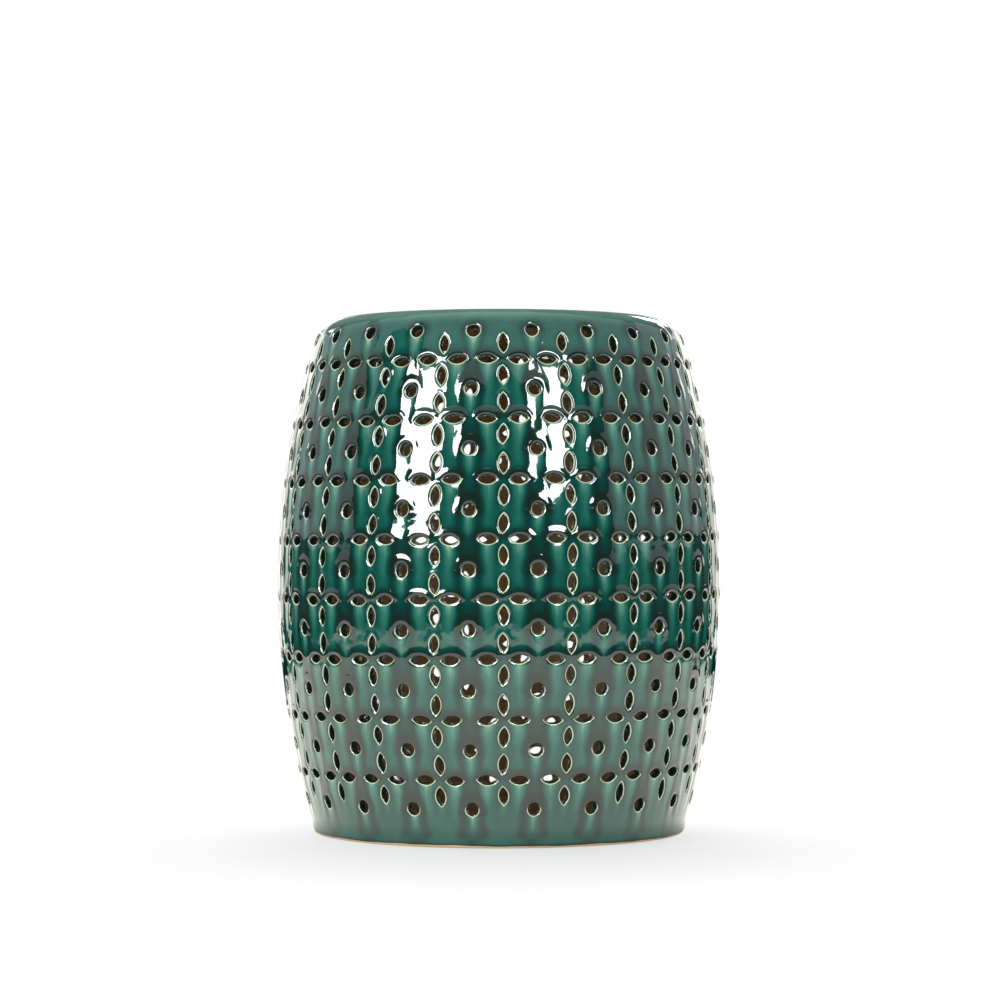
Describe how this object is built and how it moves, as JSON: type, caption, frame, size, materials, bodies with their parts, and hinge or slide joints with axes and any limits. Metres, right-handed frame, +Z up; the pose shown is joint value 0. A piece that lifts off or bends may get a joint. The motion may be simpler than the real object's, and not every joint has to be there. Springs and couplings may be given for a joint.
{
  "type": "ceramic garden stool",
  "caption": "Barrel-shaped ceramic garden stool with a glossy teal glaze, its wall pierced all over with four-petal flowers and round holes.",
  "frame": {"origin": "on the floor plane under the centre of the foot ring", "axes": "+Z up through the seat, -Y towards the pictured front"},
  "size_m": [0.398, 0.3979, 0.46],
  "materials": {
    "teal_glaze": "gloss",
    "bare_stoneware": "matte"
  },
  "bodies": {
    "root": {"pierced_wall": "teal_glaze", "seat_slab": "teal_glaze", "foot_ring": "bare_stoneware", "seat_luting_coil": "bare_stoneware", "foot_luting_coil": "bare_stoneware"}
  },
  "joints": []
}
